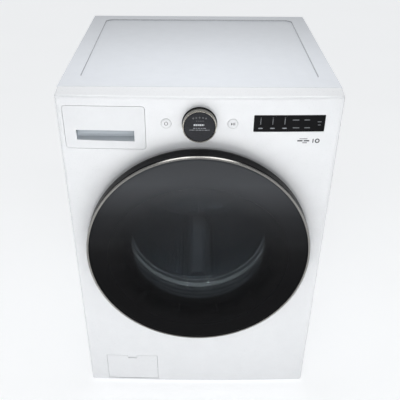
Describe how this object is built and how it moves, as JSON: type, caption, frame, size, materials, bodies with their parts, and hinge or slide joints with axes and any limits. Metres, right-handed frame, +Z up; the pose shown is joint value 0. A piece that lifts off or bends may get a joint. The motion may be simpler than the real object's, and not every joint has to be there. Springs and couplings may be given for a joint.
{
  "type": "front load washing machine",
  "caption": "Upright washing machine with a large round dark glass door, a detergent drawer with a finger pocket, a turning dial, push buttons and a touch display.",
  "frame": {"origin": "on the floor under the middle of the whole machine, inlets and door included", "axes": "+Z up, +X to the right when the machine is seen from the front, +Y towards its back; the door faces -Y"},
  "size_m": [0.686, 0.772, 0.99],
  "materials": {
    "white_enamel": "smooth white enamel",
    "white_plastic": "smooth white",
    "galvanised_sheet": "galvanised",
    "grey_plastic": "satin grey",
    "black_plastic": "gloss black",
    "dark_plastic": "satin dark",
    "tinted_glass": "smoked, polished",
    "clear_glass": "clear, polished",
    "display_glass": "black, polished",
    "champagne_metal": "satin, turned",
    "stainless": "fine brushed",
    "zinc_steel": "zinc plated",
    "tub_plastic": "moulded, glass filled",
    "concrete": "cast",
    "cast_aluminium": "as cast",
    "grey_rubber": "matt",
    "black_rubber": "matt",
    "copper_winding": "enamelled wire",
    "spring_steel": "oiled",
    "circuit_board": "lacquered",
    "blue_plastic": "smooth blue"
  },
  "bodies": {
    "cabinet": {"front_panel": "white_enamel", "top_plate": "white_enamel", "cabinet_wrap": "white_enamel", "rear_panel": "galvanised_sheet", "rear_access_cover": "galvanised_sheet", "base_frame": "galvanised_sheet", "top_braces": "galvanised_sheet", "door_hinge_bracket": "zinc_steel", "door_lock": "dark_plastic", "control_housing": "black_plastic", "display_board": "circuit_board", "display_glass": "display_glass", "control_box": "grey_plastic", "dial_screen": "black_plastic", "dispenser_housing": "grey_plastic", "gasket": "grey_rubber", "gasket_wire": "spring_steel", "inlet_valves": "white_plastic", "hoses": "black_rubber", "fill_bellows": "black_rubber", "drain_pump": "grey_plastic", "sump_hose": "black_rubber", "cord_gland": "black_plastic", "rear_fasteners": "zinc_steel", "suspension_springs": "spring_steel", "damper_cylinders": "dark_plastic"},
    "tub": {"tub_front": "tub_plastic", "tub_rear": "tub_plastic", "counterweights": "concrete", "tub_fasteners": "zinc_steel", "bearings_and_seal": "zinc_steel", "stator": "copper_winding", "heater": "stainless", "damper_rods": "spring_steel"},
    "drum": {"drum_shell": "stainless", "drum_front": "stainless", "drum_back": "stainless", "drum_lifters": "grey_plastic", "drum_spider": "cast_aluminium", "drive_shaft": "zinc_steel", "rotor": "zinc_steel"},
    "door": {"door_frame": "black_plastic", "door_liner": "grey_plastic", "door_glass": "tinted_glass", "door_trim_ring": "champagne_metal", "door_bowl": "clear_glass", "door_arm_and_hook": "zinc_steel"},
    "drawer": {"drawer_front": "white_plastic", "drawer_tray": "white_plastic", "drawer_insert": "blue_plastic"},
    "dial": {"dial_ring": "champagne_metal"},
    "power_button": {"power_button": "white_plastic"},
    "start_button": {"start_button": "white_plastic"},
    "filter_hatch": {"filter_hatch": "white_plastic"},
    "filter_cap": {"filter_cap": "blue_plastic"},
    "foot_front_left": {"foot_front_left": "black_rubber"},
    "foot_front_right": {"foot_front_right": "black_rubber"},
    "foot_rear_left": {"foot_rear_left": "black_rubber"},
    "foot_rear_right": {"foot_rear_right": "black_rubber"}
  },
  "joints": [
    {"name": "tub_float", "type": "slide", "parent": "cabinet", "child": "tub", "axis": [0, 0, 1], "range_m": [-0.01, 0.01], "stiffness_N_per_m": 18000, "springref_m": 0.02122, "deforming": ["gasket", "suspension_springs", "fill_bellows", "sump_hose"]},
    {"name": "drum_spin", "type": "hinge", "parent": "tub", "child": "drum", "pos_m": [0, 0.284, 0.552], "axis": [0, 1, 0], "continuous": true},
    {"name": "door_hinge", "type": "hinge", "parent": "cabinet", "child": "door", "pos_m": [-0.296, -0.344, 0.552], "axis": [0, 0, -1], "range_deg": [0, 100]},
    {"name": "drawer_slide", "type": "slide", "parent": "cabinet", "child": "drawer", "axis": [0, -1, 0], "range_m": [0, 0.25]},
    {"name": "dial_turn", "type": "hinge", "parent": "cabinet", "child": "dial", "pos_m": [0, -0.348, 0.917], "axis": [0, 1, 0], "continuous": true},
    {"name": "power_press", "type": "slide", "parent": "cabinet", "child": "power_button", "axis": [0, 1, 0], "range_m": [0, 0.0012], "stiffness_N_per_m": 400},
    {"name": "start_press", "type": "slide", "parent": "cabinet", "child": "start_button", "axis": [0, 1, 0], "range_m": [0, 0.0012], "stiffness_N_per_m": 400},
    {"name": "hatch_hinge", "type": "hinge", "parent": "cabinet", "child": "filter_hatch", "pos_m": [-0.198, -0.331, 0.0285], "axis": [1, 0, 0], "range_deg": [0, 90]},
    {"name": "filter_turn", "type": "hinge", "parent": "cabinet", "child": "filter_cap", "pos_m": [-0.238, -0.312, 0.08], "axis": [0, -1, 0], "range_deg": [0, 270]},
    {"name": "foot_front_left_adjust", "type": "slide", "parent": "cabinet", "child": "foot_front_left", "axis": [0, 0, 1], "range_m": [-0.015, 0.003]},
    {"name": "foot_front_right_adjust", "type": "slide", "parent": "cabinet", "child": "foot_front_right", "axis": [0, 0, 1], "range_m": [-0.015, 0.003]},
    {"name": "foot_rear_left_adjust", "type": "slide", "parent": "cabinet", "child": "foot_rear_left", "axis": [0, 0, 1], "range_m": [-0.015, 0.003]},
    {"name": "foot_rear_right_adjust", "type": "slide", "parent": "cabinet", "child": "foot_rear_right", "axis": [0, 0, 1], "range_m": [-0.015, 0.003]}
  ]
}
